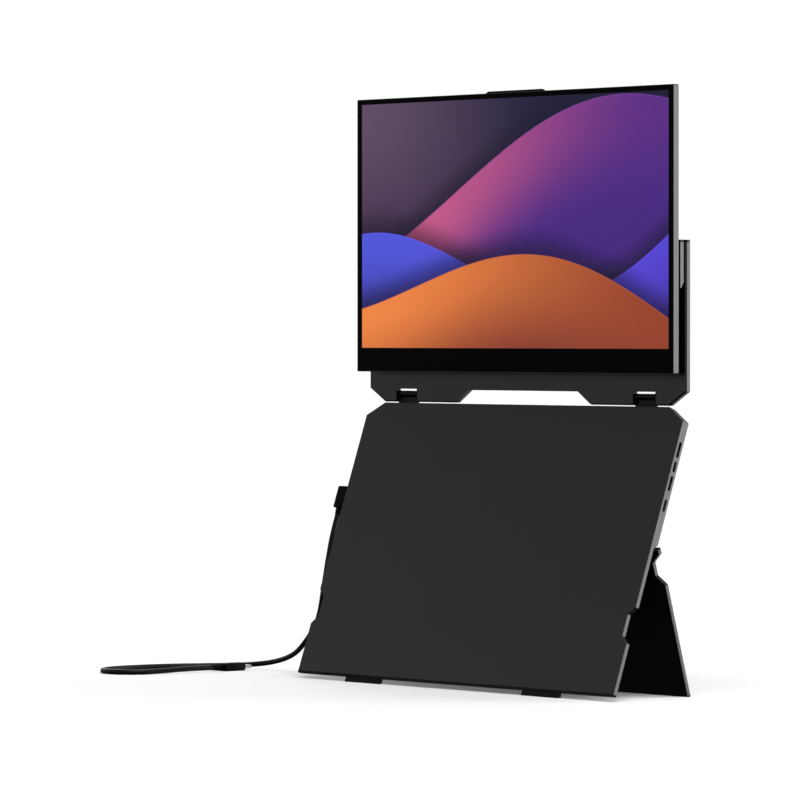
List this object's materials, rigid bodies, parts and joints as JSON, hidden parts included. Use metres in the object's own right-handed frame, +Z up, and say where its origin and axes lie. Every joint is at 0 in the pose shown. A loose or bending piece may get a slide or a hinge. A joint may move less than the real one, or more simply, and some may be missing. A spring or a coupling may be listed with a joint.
{
  "type": "laptop screen extender",
  "caption": "Second screen that stands behind a laptop: leaning base plate with kickstand, fold-up riser, and a flat display hung from a tilt hinge, with a short cable.",
  "frame": {"origin": "middle of the standing footprint, on the table", "axes": "+X to the right and -Y towards the person who looks at the display, +Z up"},
  "size_m": [0.5135, 0.1708, 0.4602],
  "materials": {
    "base_shell": "matte anodised dark grey",
    "riser_panel": "matte anodised dark grey",
    "kickstand_panel": "matte anodised dark grey",
    "display_shell": "matte anodised dark grey",
    "bezel_black": "satin black",
    "hinge_strip_black": "satin black",
    "grip_rubber": "matte black",
    "hinge_metal": "black oxide",
    "pin_steel": "ground steel",
    "screw_steel": "black oxide",
    "socket_metal": "stamped steel",
    "button_black": "satin",
    "board_green": "solder mask",
    "chip_black": "moulded epoxy",
    "screen": "lit picture under glass",
    "cell_glass": "liquid crystal cell",
    "backlight_white": "diffuser and light guide",
    "flex_orange": "polyimide film",
    "plug_black": "satin black",
    "cable_black": "satin jacket"
  },
  "bodies": {
    "base": {"base_front_shell": "base_shell", "base_rear_cover": "base_shell", "base_foot_strip": "grip_rubber", "cover_screws": "screw_steel", "fold_hinge_brackets": "hinge_metal", "fold_hinge_pins": "pin_steel", "fold_bracket_screws": "screw_steel", "kick_hinge_brackets": "hinge_metal", "kick_hinge_pins": "pin_steel", "kick_bracket_screws": "screw_steel", "main_board": "board_green", "board_screws": "screw_steel", "board_chips": "chip_black", "usb_socket_right": "socket_metal", "usb_socket_left": "socket_metal", "video_sockets": "socket_metal", "button_switch": "chip_black", "plug_shell": "plug_black", "plug_strain_relief": "plug_black", "plug_tongue": "socket_metal", "cable": "cable_black", "far_strain_relief": "plug_black", "far_plug_shell": "plug_black", "far_plug_tongue": "socket_metal"},
    "button": {"power_button": "button_black"},
    "kickstand": {"kickstand_plate": "kickstand_panel", "kickstand_foot_strip": "grip_rubber", "kick_hinge_leaves": "hinge_metal", "kick_leaf_screws": "screw_steel"},
    "riser": {"riser_front_panel": "riser_panel", "riser_back_panel": "riser_panel", "riser_screws": "screw_steel", "riser_flex_cable": "flex_orange", "fold_hinge_knuckles": "hinge_metal", "fold_hinge_cheeks": "hinge_strip_black", "riser_hinge_strip": "hinge_strip_black", "riser_hinge_screws": "screw_steel"},
    "display": {"display_rear_cover": "display_shell", "display_bezel": "bezel_black", "screen_glass": "screen", "lcd_panel": "cell_glass", "backlight_unit": "backlight_white", "driver_board": "board_green", "driver_chips": "chip_black", "panel_ribbons": "flex_orange", "display_hinge_leaf": "display_shell", "leaf_spacers": "display_shell", "leaf_screws": "screw_steel", "display_hinge_strip": "hinge_strip_black", "tilt_hinge_pins": "pin_steel", "grip_tab": "grip_rubber"}
  },
  "joints": [
    {"name": "riser_fold", "type": "hinge", "parent": "base", "child": "riser", "pos_m": [0, 0.03974, 0.22441], "axis": [1, 0, 0], "range_deg": [-19.8, 110]},
    {"name": "display_tilt", "type": "hinge", "parent": "riser", "child": "display", "pos_m": [0, 0.03561, 0.34271], "axis": [-1, 0, 0], "range_deg": [0, 180]},
    {"name": "kickstand_fold", "type": "hinge", "parent": "base", "child": "kickstand", "pos_m": [0, 0.00531, 0.1183], "axis": [1, 0, 0], "range_deg": [-35.7, 0]},
    {"name": "power_button", "type": "slide", "parent": "base", "child": "button", "axis": [-1, 0, 0], "range_m": [0, 0.0006], "stiffness_N_per_m": 2500, "springref_m": -0.0002}
  ]
}
